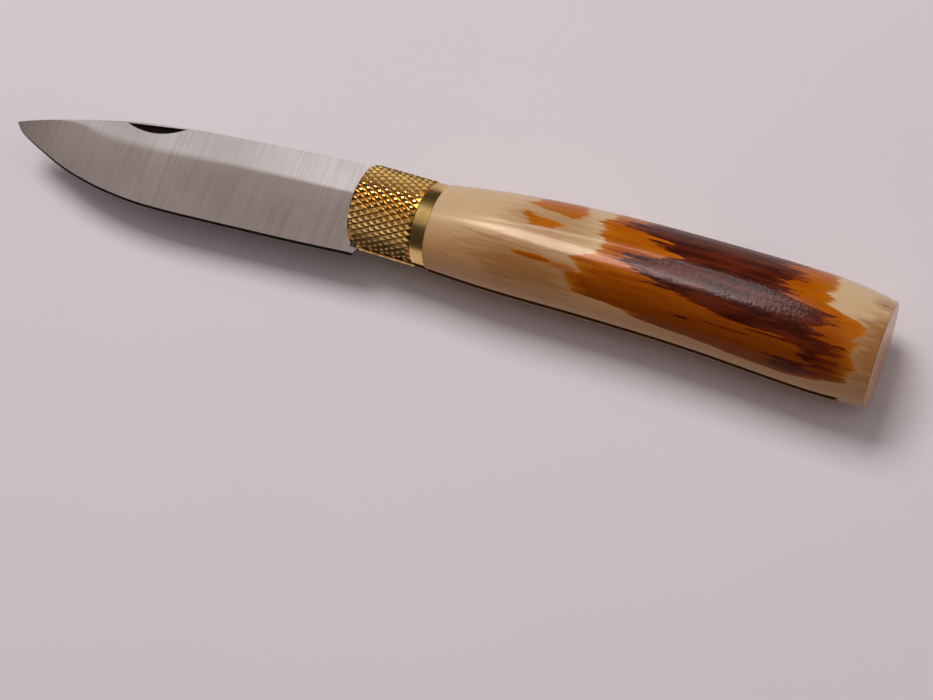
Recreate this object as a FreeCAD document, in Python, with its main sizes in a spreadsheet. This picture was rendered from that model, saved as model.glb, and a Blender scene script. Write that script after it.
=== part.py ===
import FreeCAD, Part
import Sketcher
import os

# Folding pocket knife with a turning lock ring: a drop-point blade pivots in the slotted neck of a
# round antler handle, and a knurled brass ring turns on a sleeve to trap or free the blade's tang.
# It is drawn with the handle's axis on X, the ring's front face at zero, the tip towards -X and the
# slot on the -Y side. At the end every piece is moved so that the middle of the base is the origin.

SIZES = {
    # Locking ring
    "ring_radius": 8.25,
    "ring_length": 12.8,
    "ring_wall": 1.25,
    "ring_slot_width": 2.4,
    "ring_play": 0.05,
    "ring_float": 0.1,
    "ring_chamfer": 0.3,
    "knurl_depth": 0.35,
    "land_width": 1.1,
    "land_start": 3.7,
    "rib_width": 1.0,
    "rib_height": 0.2,
    "rib_setback": 1.2,
    # Sleeve and band that are fixed on the handle's neck
    "sleeve_wall": 1.0,
    "band_step": 0.1,
    "band_length": 3.0,
    "band_chamfer": 0.2,
    "glue_gap": 0.02,
    # Pivot
    "pivot_setback": 6.8,
    "pin_radius": 1.5,
    "pin_play": 0.04,
    "pin_recess": 0.03,
    # Blade
    "blade_length": 79.2,
    "blade_thickness": 1.8,
    "spine_height": 8.0,
    "edge_drop": 4.25,
    "edge_shoulder": 0.45,
    "edge_bevel": 0.45,
    "edge_land": 0.06,
    "root_gap": 0.15,
    "tang_half_width": 3.5,
    "tang_clearance": 0.14,
    "heel_overhang": 1.73,
    "heel_gap": 0.14,
    "heel_cut_length": 0.75,
    # Nail nick
    "nick_length": 13.4,
    "nick_depth": 0.5,
    "nick_height": 1.6,
    "nick_strip": 0.25,
    "nick_setback": 48.6,
    # Handle
    "handle_length": 82.8,
    "handle_radius": 10.45,
    "shoulder_step": 0.25,
    "handle_arch": 1.75,
    "neck_recess": 0.2,
    "butt_rounding": 0.6,
    # Blade slot
    "slot_width": 2.2,
    "slot_clearance": 0.35,
    "slot_end_room": 0.9,
    "slot_end_rise": 1.5,
    # How far a cutting outline runs past the piece that it cuts
    "overrun": 2.0,
}

# Blade stations from heel to tip: place along the blade, spine above the axis, edge below it, line
# where the bevel leaves the flat, and thickness of the spine, each as a share of its own size.
BLADE_SHARES = [
    # length, spine, edge, bevel line, thickness
    (0.0, 1.000, 0.794, 0.241, 1.000),
    (0.1, 0.944, 0.830, 0.186, 1.000),
    (0.2, 0.878, 0.866, 0.131, 0.995),
    (0.3, 0.794, 0.906, 0.075, 0.985),
    (0.4, 0.692, 0.948, 0.012, 0.970),
    (0.5, 0.575, 0.986, -0.072, 0.945),
    (0.6, 0.435, 0.994, -0.145, 0.910),
    (0.7, 0.270, 0.918, -0.170, 0.860),
    (0.8, 0.070, 0.780, -0.110, 0.780),
    (0.9, -0.186, 0.576, -0.240, 0.620),
    (1.0, -0.452, 0.296, -0.456, 0.200),
]

# Handle stations from shoulder to butt: place along the handle, swelling from the shoulder's radius to
# the greatest one, and rise of the centre line towards the back, each as a share of its own size.
HANDLE_SHARES = [
    # length, swelling, arch
    (0.00, 0.00, 0.00),
    (0.14, 0.51, 0.40),
    (0.37, 0.77, 0.91),
    (0.61, 0.84, 1.00),
    (0.82, 0.99, 0.75),
    (0.93, 0.95, 0.56),
    (1.00, 0.52, 0.41),
]

# The handle is drawn as this many slices, and its butt's rim turns over in steps of a quarter turn.
HANDLE_SLICES = 12
BUTT_ROUNDING_SHARES = [0.35, 0.7, 1.0]

FULL_TURN = 360
QUARTER_TURN = 90

doc = FreeCAD.newDocument("pocket_knife")


# Sheet of driving dimensions
sheet = doc.addObject("Spreadsheet::Sheet", "Sizes")
for row, (alias, value) in enumerate(SIZES.items(), start=1):
    sheet.set(f"A{row}", alias)
    sheet.set(f"B{row}", str(value))
    sheet.setAlias(f"B{row}", alias)
doc.recompute()


def size(alias):
    """Expression for one driving dimension."""
    return f"Sizes.{alias}"


def measure(expression):
    """Present value of an expression, in millimetres."""
    return float(sheet.evalExpression(expression))


# Sizes that follow from the driving ones
RING_BORE = f"({size('ring_radius')} - {size('ring_wall')})"
KNURL_ROOT = f"({size('ring_radius')} - {size('knurl_depth')})"
SLEEVE_RADIUS = f"({RING_BORE} - {size('ring_play')})"
SLEEVE_BORE = f"({SLEEVE_RADIUS} - {size('sleeve_wall')})"
NECK_RADIUS = f"({SLEEVE_BORE} - {size('glue_gap')})"
BAND_START = f"({size('ring_length')} + {size('ring_float')})"
SHOULDER = f"({BAND_START} + {size('band_length')})"
RIB_END = f"({size('rib_setback')} + {size('rib_width')})"
EDGE_DEPTH = f"({size('ring_radius')} + {size('edge_drop')})"
OUTSIDE = f"({size('handle_radius')} + {EDGE_DEPTH})"
BAND_RADIUS = f"({size('ring_radius')} - {size('band_step')})"
SHOULDER_RADIUS = f"({BAND_RADIUS} + {size('shoulder_step')})"

# The blade stops just ahead of the ring, but its heel runs on a little below the ring
BLADE_ROOT = f"(-{size('root_gap')})"
HEEL_BACK = f"({BLADE_ROOT} + {size('heel_overhang')})"
HEEL_TOP = f"-({size('ring_radius')} + {size('heel_gap')})"

# The tang lies as near to the ring's rib as its clearance allows, which sets the pivot's height
RIB_RADIUS = f"({RING_BORE} - {size('rib_height')})"
TANG_REACH = f"sqrt(({RIB_RADIUS} - {size('tang_clearance')}) ^ 2 - ({size('blade_thickness')} / 2) ^ 2)"
PIVOT_OFFSET = f"({TANG_REACH} - {size('tang_half_width')})"


def origin_feature(body, role):
    """One of a body's own base planes or axes."""
    return next(item for item in body.Origin.OriginFeatures if item.Role == role)


def new_body(label):
    return doc.addObject("PartDesign::Body", label)


def sketch_on(body, name, role, offset="0"):
    """Empty sketch on one of the body's base planes, moved along its normal."""
    sketch = body.newObject("Sketcher::SketchObject", name)
    sketch.AttachmentSupport = [(origin_feature(body, role), "")]
    sketch.MapMode = "FlatFace"
    sketch.setExpression("AttachmentOffset.Base.z", offset)
    return sketch


def bind(sketch, kind, places, expression):
    """Dimension in a sketch that follows an expression."""
    index = sketch.addConstraint(Sketcher.Constraint(kind, *places, measure(expression)))
    sketch.setExpression(f"Constraints[{index}]", expression)


def polygon(sketch, corners):
    """Closed outline of straight lines whose corners are pairs of expressions."""
    points = [FreeCAD.Vector(measure(across), measure(up)) for across, up in corners]
    count = len(points)
    for index, point in enumerate(points):
        sketch.addGeometry(Part.LineSegment(point, points[(index + 1) % count]))
    for index in range(count):
        following = (index + 1) % count
        sketch.addConstraint(Sketcher.Constraint("Coincident", index, 2, following, 1))
    for index, (across, up) in enumerate(corners):
        bind(sketch, "DistanceX", (-1, 1, index, 1), across)
        bind(sketch, "DistanceY", (-1, 1, index, 1), up)
    return sketch


def circle(sketch, radius, across="0", up="0"):
    """Circle whose radius and centre follow expressions."""
    centre = FreeCAD.Vector(measure(across), measure(up))
    index = sketch.addGeometry(Part.Circle(centre, FreeCAD.Vector(0, 0, 1), measure(radius)))
    bind(sketch, "Radius", (index,), radius)
    bind(sketch, "DistanceX", (-1, 1, index, 3), across)
    bind(sketch, "DistanceY", (-1, 1, index, 3), up)
    return sketch


def rectangle(low_across, low_up, high_across, high_up):
    """Corners of an upright rectangle."""
    return [(low_across, low_up), (high_across, low_up), (high_across, high_up), (low_across, high_up)]


def revolve(body, name, corners):
    """Turned shape: an outline beside the X axis, spun a full turn about it."""
    feature = body.newObject("PartDesign::Revolution", name)
    feature.Profile = polygon(sketch_on(body, name + "_profile", "XY_Plane"), corners)
    feature.ReferenceAxis = (origin_feature(body, "X_Axis"), [""])
    feature.Angle = FULL_TURN
    doc.recompute()
    return feature


def cut_checked(body, feature):
    """Recompute after a cut and make sure that it took material away."""
    before = feature.BaseFeature.Shape.Volume
    doc.recompute()
    if feature.Shape.Volume >= before:
        raise ValueError(f"{feature.Name} on {body.Label} cuts nothing")


def cut_through(body, name, sketch, width=f"2 * {OUTSIDE}"):
    """Cut an outline on the blade's plane through the piece, to both sides alike."""
    feature = body.newObject("PartDesign::Pocket", name)
    feature.Profile = sketch
    feature.SideType = "Symmetric"
    feature.setExpression("Length", width)
    cut_checked(body, feature)


def cut_blade_slot(body, start, end, width):
    """Open a turned piece on its -Y side, so that the blade can swing through it."""
    half = f"{width} / 2"
    corners = rectangle(f"{start} - {size('overrun')}", f"-{half}", f"{end} + {size('overrun')}", half)
    feature = body.newObject("PartDesign::Pocket", "blade_slot_cut")
    feature.Profile = polygon(sketch_on(body, "blade_slot_outline", "XZ_Plane"), corners)
    feature.Reversed = True
    feature.setExpression("Length", OUTSIDE)
    cut_checked(body, feature)


def cut_pin_hole(body, clearance):
    """Hole for the pivot pin, along Z."""
    sketch = sketch_on(body, "pin_hole_outline", "XY_Plane")
    circle(sketch, f"{size('pin_radius')} + {clearance}", size("pivot_setback"), f"-{PIVOT_OFFSET}")
    cut_through(body, "pin_hole_cut", sketch)


def loft(body, name, sections, ruled=False):
    """Body through a row of sections, smooth or with straight runs between them."""
    feature = body.newObject("PartDesign::AdditiveLoft", name)
    feature.Profile = sections[0]
    feature.Sections = sections[1:]
    feature.Ruled = ruled
    doc.recompute()


def make_locking_ring():
    """Knurled ring with a slot, an inner rib that holds it on the sleeve, and a smooth front land."""
    body = new_body("locking_ring")
    front_edge = f"{size('ring_radius')} - {size('ring_chamfer')}"
    back_edge = f"{size('ring_length')} - {size('ring_chamfer')}"
    revolve(body, "knurled_blank", [
        ("0", RING_BORE),
        ("0", front_edge),
        (size("ring_chamfer"), size("ring_radius")),
        (back_edge, size("ring_radius")),
        (size("ring_length"), front_edge),
        (size("ring_length"), RING_BORE),
    ])

    # The knurling stops at a slanting line, which leaves a smooth land beside the slot's front.
    low = f"-({size('ring_radius')} + {size('overrun')})"
    slope = f"{size('land_width')} / ({size('ring_radius')} - {size('land_start')})"
    reach = f"({slope}) * ({size('ring_radius')} + {size('overrun')} - {size('land_start')})"
    sketch = polygon(sketch_on(body, "land_outline", "XY_Plane"), [
        ("0", f"-{size('land_start')}"),
        (f"-{size('overrun')}", f"-{size('land_start')}"),
        (f"-{size('overrun')}", low),
        (reach, low),
    ])
    cut_through(body, "land_cut", sketch)

    revolve(body, "ring_core", [
        ("0", RING_BORE),
        ("0", KNURL_ROOT),
        (size("ring_length"), KNURL_ROOT),
        (size("ring_length"), RING_BORE),
        (RIB_END, RING_BORE),
        (RIB_END, RIB_RADIUS),
        (size("rib_setback"), RIB_RADIUS),
        (size("rib_setback"), RING_BORE),
    ])
    cut_blade_slot(body, "0", size("ring_length"), size("ring_slot_width"))
    return body


def make_ferrule():
    """Sleeve glued on the neck, with a groove for the ring's rib."""
    body = new_body("ferrule")
    groove_radius = f"{SLEEVE_RADIUS} - {size('rib_height')} - {size('ring_play')}"
    groove_start = f"{size('rib_setback')} - {size('ring_float')}"
    groove_end = f"{RIB_END} + {size('ring_float')}"
    revolve(body, "sleeve", [
        ("0", SLEEVE_BORE),
        ("0", SLEEVE_RADIUS),
        (groove_start, SLEEVE_RADIUS),
        (groove_start, groove_radius),
        (groove_end, groove_radius),
        (groove_end, SLEEVE_RADIUS),
        (SHOULDER, SLEEVE_RADIUS),
        (SHOULDER, SLEEVE_BORE),
    ])
    cut_blade_slot(body, "0", SHOULDER, size("slot_width"))
    cut_pin_hole(body, size("glue_gap"))
    return body


def make_rear_band():
    """Plain collar between the ring and the handle's shoulder."""
    body = new_body("rear_band")
    bore = f"{SLEEVE_RADIUS} + {size('glue_gap')}"
    edge = f"{BAND_RADIUS} - {size('band_chamfer')}"
    revolve(body, "collar", [
        (BAND_START, bore),
        (BAND_START, edge),
        (f"{BAND_START} + {size('band_chamfer')}", BAND_RADIUS),
        (f"{SHOULDER} - {size('band_chamfer')}", BAND_RADIUS),
        (SHOULDER, edge),
        (SHOULDER, bore),
    ])
    cut_blade_slot(body, BAND_START, SHOULDER, size("slot_width"))
    return body


def make_pivot_pin():
    """Rivet across the neck, dressed flush with the sleeve so that the ring clears it."""
    rod = doc.addObject("Part::Cylinder", "pin_rod")
    rod.setExpression("Radius", size("pin_radius"))
    rod.setExpression("Height", f"2 * {SLEEVE_RADIUS}")
    rod.setExpression("Placement.Base.x", size("pivot_setback"))
    rod.setExpression("Placement.Base.y", f"-{PIVOT_OFFSET}")
    rod.setExpression("Placement.Base.z", f"-{SLEEVE_RADIUS}")
    envelope = doc.addObject("Part::Cylinder", "pin_envelope")
    envelope.setExpression("Radius", f"{SLEEVE_RADIUS} - {size('pin_recess')}")
    envelope.setExpression("Height", SHOULDER)
    envelope.Placement.Rotation = FreeCAD.Rotation(FreeCAD.Vector(0, 0, 1), FreeCAD.Vector(1, 0, 0))
    pin = doc.addObject("Part::Common", "pivot_pin")
    pin.Base = rod
    pin.Tool = envelope
    doc.recompute()
    return pin


def station_place(length):
    """Place of a blade station along X, as an expression."""
    return f"{HEEL_BACK} - ({size('blade_length')} + {HEEL_BACK}) * {length}"


def blade_section(body, number, shares):
    """One slice of the blade: spine, flats, ground bevels, and the fine bevel at the edge."""
    length, spine, edge, bevel, thickness = shares
    half = f"{size('blade_thickness')} * {thickness} / 2"
    shoulder_half = f"{size('edge_shoulder')} * {thickness} / 2"
    land_half = f"{size('edge_land')} * {thickness} / 2"
    spine_up = f"{size('spine_height')} * {spine}"
    bevel_up = f"{size('spine_height')} * {bevel}"
    edge_up = f"-{EDGE_DEPTH} * {edge}"
    shoulder_up = f"{edge_up} + {size('edge_bevel')} * {thickness ** 2}"
    right_side = [
        (spine_up, half),
        (bevel_up, half),
        (shoulder_up, shoulder_half),
        (edge_up, land_half),
    ]
    left_side = [(up, f"-({across})") for up, across in reversed(right_side)]
    sketch = sketch_on(body, f"blade_section_{number}", "YZ_Plane", station_place(length))
    return polygon(sketch, right_side + left_side)


def make_blade():
    """Drop-point blade with ground bevels, rounded tang, pivot hole, heel cut and nail nick."""
    body = new_body("blade_blank")
    loft(body, "ground_blade", [
        blade_section(body, number, shares) for number, shares in enumerate(BLADE_SHARES)
    ])

    # Clear the room of the ring: behind the root only the heel is left, below the ring
    root_cut = polygon(
        sketch_on(body, "root_cut_outline", "XY_Plane"),
        rectangle(BLADE_ROOT, HEEL_TOP, f"{HEEL_BACK} + {size('overrun')}", OUTSIDE),
    )
    cut_through(body, "root_cut", root_cut)

    tang_low = f"-{PIVOT_OFFSET} - {size('tang_half_width')}"
    tang_high = f"-{PIVOT_OFFSET} + {size('tang_half_width')}"
    tang = body.newObject("PartDesign::Pad", "tang")
    tang.Profile = polygon(
        sketch_on(body, "tang_outline", "XY_Plane"),
        rectangle(BLADE_ROOT, tang_low, size("pivot_setback"), tang_high),
    )
    tang.SideType = "Symmetric"
    tang.setExpression("Length", size("blade_thickness"))
    tang_eye = body.newObject("PartDesign::Pad", "tang_eye")
    tang_eye.Profile = circle(
        sketch_on(body, "tang_eye_outline", "XY_Plane"),
        size("tang_half_width"),
        size("pivot_setback"),
        f"-{PIVOT_OFFSET}",
    )
    tang_eye.SideType = "Symmetric"
    tang_eye.setExpression("Length", size("blade_thickness"))
    doc.recompute()
    cut_pin_hole(body, size("pin_play"))

    heel_up = f"-{EDGE_DEPTH} * {BLADE_SHARES[0][2]}"
    heel_corner = f"{HEEL_BACK} - {size('heel_cut_length')}"
    heel_cut = polygon(sketch_on(body, "heel_cut_outline", "XY_Plane"), [
        (HEEL_BACK, HEEL_TOP),
        (heel_corner, heel_up),
        (heel_corner, f"{heel_up} - {size('overrun')}"),
        (f"{HEEL_BACK} + {size('overrun')}", f"{heel_up} - {size('overrun')}"),
        (f"{HEEL_BACK} + {size('overrun')}", HEEL_TOP),
    ])
    cut_through(body, "heel_cut", heel_cut)

    # The nick is ground by a coned wheel: its flat side leaves the straight wall under the spine,
    # and its cone runs out on the flat of the blade in a shallow arc.
    wheel = doc.addObject("Part::Cone", "nick_wheel")
    wheel_radius = f"({size('nick_length')} ^ 2 / (8 * {size('nick_depth')}))"
    fall = f"({size('nick_depth')} / {size('nick_height')})"
    wheel.setExpression("Radius1", wheel_radius)
    wheel.setExpression("Radius2", f"{wheel_radius} - {fall} * 2 * {size('nick_height')}")
    wheel.setExpression("Height", f"2 * {size('nick_height')}")
    doc.recompute()
    nick_x = -measure(size("nick_setback"))
    half_length = measure(f"{size('nick_length')} / 2")
    middle = slice_box(body.Shape, nick_x)
    ahead = slice_box(body.Shape, nick_x - half_length)
    behind = slice_box(body.Shape, nick_x + half_length)
    across = FreeCAD.Vector(behind.YMax - ahead.YMax, ahead.Center.x - behind.Center.x, 0)
    chord_up = (ahead.YMax + behind.YMax) / 2 - measure(size("nick_strip"))
    height = middle.ZMax + measure(f"{wheel_radius} - {size('nick_depth')}")
    wheel.Placement = FreeCAD.Placement(
        FreeCAD.Vector(nick_x, chord_up, height),
        FreeCAD.Rotation(FreeCAD.Vector(0, 0, 1), across),
    )
    blade = doc.addObject("Part::Cut", "blade")
    blade.Base = body
    blade.Tool = wheel
    doc.recompute()
    return blade


def slice_box(shape, x):
    """Box around the blade's section at one place along it."""
    box = FreeCAD.BoundBox()
    for wire in shape.slice(FreeCAD.Vector(1, 0, 0), x):
        box.add(wire.BoundBox)
    return box


def smooth_share(place, column):
    """Share of a handle size at any place along it, on a smooth curve through the stations."""
    number = max(index for index in range(len(HANDLE_SHARES) - 1) if HANDLE_SHARES[index][0] <= place)
    rows = [HANDLE_SHARES[min(max(number + step, 0), len(HANDLE_SHARES) - 1)] for step in (-1, 0, 1, 2)]
    (before, start, end, after) = [(row[0], row[column]) for row in rows]
    span = end[0] - start[0]
    leaving = span * (end[1] - before[1]) / (end[0] - before[0])
    arriving = span * (after[1] - start[1]) / (after[0] - start[0])
    along = (place - start[0]) / span
    rise = end[1] - start[1]
    bend = along * (1 - along) * ((leaving - rise) * (1 - along) - (arriving - rise) * along)
    return start[1] + rise * along + bend


def handle_slices():
    """Place, radius and centre of each slice of the handle, as expressions, with a rounded butt rim."""
    rim = size("butt_rounding")
    body_length = f"({size('handle_length')} - {rim})"
    slices = []
    for number in range(HANDLE_SLICES + 1):
        place = number / HANDLE_SLICES
        along = f"{SHOULDER} + {body_length} * {place}"
        swelling = f"({size('handle_radius')} - {SHOULDER_RADIUS}) * {smooth_share(place, 1)}"
        arch = f"{size('handle_arch')} * {smooth_share(place, 2)}"
        slices.append((along, f"{SHOULDER_RADIUS} + {swelling}", arch))
    along, radius, centre = slices[-1]
    for angle_share in BUTT_ROUNDING_SHARES:
        angle = QUARTER_TURN * angle_share
        forward = f"{along} + {rim} * sin({angle})"
        inward = f"{radius} - {rim} * (1 - cos({angle}))"
        slices.append((forward, inward, centre))
    return slices


def make_handle():
    """Antler handle: swelling body with a straight belly and arched back, neck and blade slot."""
    body = new_body("handle")
    sections = []
    for number, (along, radius, centre) in enumerate(handle_slices()):
        sketch = sketch_on(body, f"handle_slice_{number}", "YZ_Plane", along)
        sections.append(circle(sketch, radius, centre))
    loft(body, "swelling_body", sections, ruled=True)

    neck = body.newObject("PartDesign::Pad", "neck")
    neck.Profile = circle(sketch_on(body, "neck_outline", "YZ_Plane", size("neck_recess")), NECK_RADIUS)
    neck.setExpression("Length", f"{SHOULDER} - {size('neck_recess')}")
    doc.recompute()

    outline = polygon(sketch_on(body, "blade_slot_side", "XY_Plane"), blade_slot_corners())
    cut_through(body, "blade_slot_cut", outline, size("slot_width"))
    cut_pin_hole(body, size("glue_gap"))
    return body


def folded_place(station):
    """Where a blade station lies along the handle, and its edge's height, once the blade is folded."""
    length, _, edge, _, _ = BLADE_SHARES[station]
    along = f"2 * {size('pivot_setback')} - ({station_place(length)})"
    up = f"{EDGE_DEPTH} * {edge} - 2 * {PIVOT_OFFSET} + {size('slot_clearance')}"
    return along, up


def blade_slot_corners():
    """Side view of the slot: shallow over the tang, then as deep as the folded edge needs."""
    deepest = max(range(len(BLADE_SHARES)), key=lambda station: BLADE_SHARES[station][2])
    heel_along, heel_up = folded_place(0)
    deep_along, _ = folded_place(deepest - 1)
    rising_along, _ = folded_place(deepest + 1)
    deep_up = f"{EDGE_DEPTH} - 2 * {PIVOT_OFFSET} + {size('slot_clearance')}"
    tip_along, tip_up = folded_place(-1)
    step = f"{heel_along} - {size('slot_clearance')}"
    end = f"{tip_along} + {size('slot_end_room')}"
    tang_roof = f"{size('tang_half_width')} - {PIVOT_OFFSET} + {size('slot_clearance')}"
    return [
        (f"-{size('overrun')}", f"-{OUTSIDE}"),
        (f"-{size('overrun')}", tang_roof),
        (step, tang_roof),
        (step, heel_up),
        (deep_along, deep_up),
        (rising_along, deep_up),
        (end, f"{tip_up} + {size('slot_end_rise')}"),
        (end, f"-{OUTSIDE}"),
    ]


def check(pieces):
    """Stop if any feature failed or any piece has no valid solid."""
    for item in doc.Objects:
        if "Invalid" in item.State or "Error" in item.State:
            raise ValueError(f"{item.Name} failed: {item.State}")
    for piece in pieces:
        if piece.Shape.isNull() or not piece.Shape.isValid() or not piece.Shape.Solids:
            raise ValueError(f"{piece.Label} has no valid solid")


pieces = [
    make_handle(),
    make_ferrule(),
    make_rear_band(),
    make_pivot_pin(),
    make_locking_ring(),
    make_blade(),
]
doc.recompute()
check(pieces)

# Move the whole part so that the middle of its base is the origin
whole = FreeCAD.BoundBox()
for piece in pieces:
    whole.add(piece.Shape.optimalBoundingBox(False, False))
shift = FreeCAD.Vector(-whole.Center.x, -whole.Center.y, -whole.ZMin)
for piece in pieces:
    piece.Placement = FreeCAD.Placement(shift, FreeCAD.Rotation())
doc.recompute()
check(pieces)

os.makedirs("parts", exist_ok=True)
for piece in pieces:
    piece.Shape.exportStep(f"parts/{piece.Label}.step")
    print(piece.Label, round(piece.Shape.Volume, 1), len(piece.Shape.Solids))
pivot = FreeCAD.Vector(measure(size("pivot_setback")), -measure(PIVOT_OFFSET), 0) + shift
print("pivot", pivot, "axis", shift, "box", whole)
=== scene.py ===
# %% [markdown]
# # A folding pocket knife with a turning lock ring
# The solids of this knife come ready made, at their real size, from its CAD model. This lesson dresses
# them: a handle of polished antler, a knurled brass ring, a plain brass band and a satin steel blade.
# Every piece is made in metres in the place where the CAD model has it, so nothing is fitted afterwards.

# %% Load the frame
import math

import bmesh
import bpy
from mathutils import Matrix, Vector


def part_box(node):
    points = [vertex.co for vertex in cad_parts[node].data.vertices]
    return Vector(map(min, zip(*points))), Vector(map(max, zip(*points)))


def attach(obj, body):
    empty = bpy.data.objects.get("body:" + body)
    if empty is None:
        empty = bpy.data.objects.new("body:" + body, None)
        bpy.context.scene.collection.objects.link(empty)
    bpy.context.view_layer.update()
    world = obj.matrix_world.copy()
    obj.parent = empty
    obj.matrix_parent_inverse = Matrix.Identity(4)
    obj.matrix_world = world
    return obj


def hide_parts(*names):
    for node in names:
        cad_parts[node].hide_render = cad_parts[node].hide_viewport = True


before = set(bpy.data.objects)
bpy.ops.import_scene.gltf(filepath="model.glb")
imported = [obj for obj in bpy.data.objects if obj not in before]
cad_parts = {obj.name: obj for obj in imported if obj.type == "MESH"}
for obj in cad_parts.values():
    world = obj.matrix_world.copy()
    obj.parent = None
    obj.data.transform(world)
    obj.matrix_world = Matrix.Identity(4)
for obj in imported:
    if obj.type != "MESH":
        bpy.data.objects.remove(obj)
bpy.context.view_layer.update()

MM = 0.001
print("CAD nodes:", ", ".join(sorted(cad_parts)))

# %% [markdown]
# ## Find the axis
# Ring, band and handle were turned about one axis, so most pieces are placed by it. The ring's box
# gives it: the ring is as high as it is wide, and its top and back aren't cut by the blade slot.

# %% Measure the turned pieces
ring_low, ring_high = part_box("locking_ring")
band_low, band_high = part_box("rear_band")
handle_low, handle_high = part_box("handle")
blade_low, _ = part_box("blade")
RING_RADIUS = (ring_high.z - ring_low.z) / 2
BAND_RADIUS = (band_high.z - band_low.z) / 2
AXIS_Y = ring_high.y - RING_RADIUS
AXIS_Z = (ring_high.z + ring_low.z) / 2
AXIS = Vector((0, AXIS_Y, AXIS_Z))
SHOULDER_X = band_high.x
BUTT_X = handle_high.x
print(f"axis at y {AXIS_Y:.5f}, z {AXIS_Z:.5f}; ring radius {RING_RADIUS:.5f}")

# %% [markdown]
# ## The camera
# The knife is seen from above, a little from the side of its edge. The camera's place is given from the
# middle of the ring's front, because that spot is easy to find in any view of the knife.

# %% Set up the camera
CAMERA_FROM_RING = Vector((121.2, -76.4, 268.3)) * MM
CAMERA_TURN_DEGREES = (17.33, 13.59, 21.78)
CAMERA_LENS = 61.7
CAMERA_SENSOR = 36

camera_data = bpy.data.cameras.new("camera")
camera_data.lens = CAMERA_LENS
camera_data.sensor_width = CAMERA_SENSOR
camera_data.clip_start = MM
camera = bpy.data.objects.new("camera", camera_data)
camera.location = Vector((ring_low.x, AXIS_Y, AXIS_Z)) + CAMERA_FROM_RING
camera.rotation_euler = [math.radians(turn) for turn in CAMERA_TURN_DEGREES]
bpy.context.scene.collection.objects.link(camera)
bpy.context.scene.camera = camera
print("camera at", [round(value, 4) for value in camera.location])

# %% [markdown]
# ## Helpers for node trees
# A material is a graph of nodes. Small helpers keep its code short: they add any node and fill its sockets,
# do a sum, blend colours, and turn a colour picked on a screen into the values that light uses.

# %% Node helpers
def add_node(tree, kind, inputs=None, **settings):
    """Add a node, apply its settings, and fill or link its input sockets."""
    node = tree.nodes.new(kind)
    for name, value in settings.items():
        setattr(node, name, value)
    for key, value in (inputs or {}).items():
        if isinstance(value, bpy.types.NodeSocket):
            tree.links.new(value, node.inputs[key])
        else:
            node.inputs[key].default_value = value
    return node


def sum_of(tree, operation, *values, clamp=False):
    """Output of a Math node."""
    node = add_node(tree, "ShaderNodeMath", dict(enumerate(values)), operation=operation, use_clamp=clamp)
    return node.outputs[0]


def step_up(tree, value, low, high):
    """Zero below low, one above high, and a smooth rise between them."""
    node = add_node(
        tree,
        "ShaderNodeMapRange",
        {"Value": value, "From Min": low, "From Max": high},
        interpolation_type="SMOOTHSTEP",
    )
    return node.outputs["Result"]


def screen_colour(red, green, blue):
    """Colour as picked on a screen, from 0 to 255, as the linear values of a shader."""
    shares = [value / 255 for value in (red, green, blue)]
    linear = [((share + 0.055) / 1.055) ** 2.4 if share > 0.04045 else share / 12.92 for share in shares]
    return (*linear, 1.0)


def mix_colours(tree, share, first, second, blend="MIX"):
    """Blend two colours; share 0 gives the first one."""
    node = add_node(tree, "ShaderNodeMix", data_type="RGBA", blend_type=blend)
    for socket, value in ((node.inputs[0], share), (node.inputs[6], first), (node.inputs[7], second)):
        if isinstance(value, bpy.types.NodeSocket):
            tree.links.new(value, socket)
        else:
            socket.default_value = value
    return node.outputs[2]


def new_material(name):
    """Empty material with a Principled shader, as (material, tree, shader, object coordinates)."""
    material = bpy.data.materials.new(name)
    material.use_nodes = True
    tree = material.node_tree
    shader = tree.nodes["Principled BSDF"]
    place = add_node(tree, "ShaderNodeTexCoord").outputs["Object"]
    return material, tree, shader, place


def connect(tree, shader, **sockets):
    """Link outputs to the shader's inputs; base_color stands for Base Color."""
    for name, value in sockets.items():
        tree.links.new(value, shader.inputs[name.replace("_", " ").title()])


# %% [markdown]
# ## Floor and light
# A pale floor takes the soft shadow. The room is bright overhead and dim towards the viewer and the back,
# which gives the turned brass its bright and dark stripes. A broad lamp from behind shapes the handle. It
# is kept out of reflections. Three strip lamps do the opposite: they are seen only as reflections, and only
# in the polished handle, where they draw the bright lines. Soft panels do the same for ring and blade.

# %% Floor
FLOOR_SIZE = 3.0
FLOOR_COLOUR = screen_colour(229, 220, 223)
FLOOR_SHADE_COLOUR = screen_colour(224, 215, 218)

floor_material, tree, shader, place = new_material("matt_paper")
cloud = add_node(tree, "ShaderNodeTexNoise", {"Vector": place, "Scale": 9.0, "Detail": 3.0})
connect(tree, shader, base_color=mix_colours(tree, cloud.outputs[0], FLOOR_SHADE_COLOUR, FLOOR_COLOUR))
shader.inputs["Roughness"].default_value = 0.75
shader.inputs["Specular IOR Level"].default_value = 0.2

bm = bmesh.new()
bmesh.ops.create_grid(bm, x_segments=1, y_segments=1, size=FLOOR_SIZE / 2)
floor_mesh = bpy.data.meshes.new("floor")
bm.to_mesh(floor_mesh)
bm.free()
floor_mesh.materials.append(floor_material)
floor = bpy.data.objects.new("floor", floor_mesh)
bpy.context.scene.collection.objects.link(floor)

# %% Room light
# Each point is (part of the direction along the axis, from -1 to 1, and level of the light there).
ROOM_OVER_Y = [
    (-1.0, 0.05), (-0.45, 0.09), (-0.20, 0.62), (0.05, 1.00),
    (0.35, 0.95), (0.50, 0.45), (0.65, 0.10), (1.0, 0.06),
]
ROOM_OVER_X = [(-1.0, 0.20), (-0.65, 0.50), (-0.40, 0.85), (0.0, 1.00), (1.0, 0.90)]
ROOM_STRENGTH = 0.80
ROOM_TINT = screen_colour(255, 249, 249)


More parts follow.
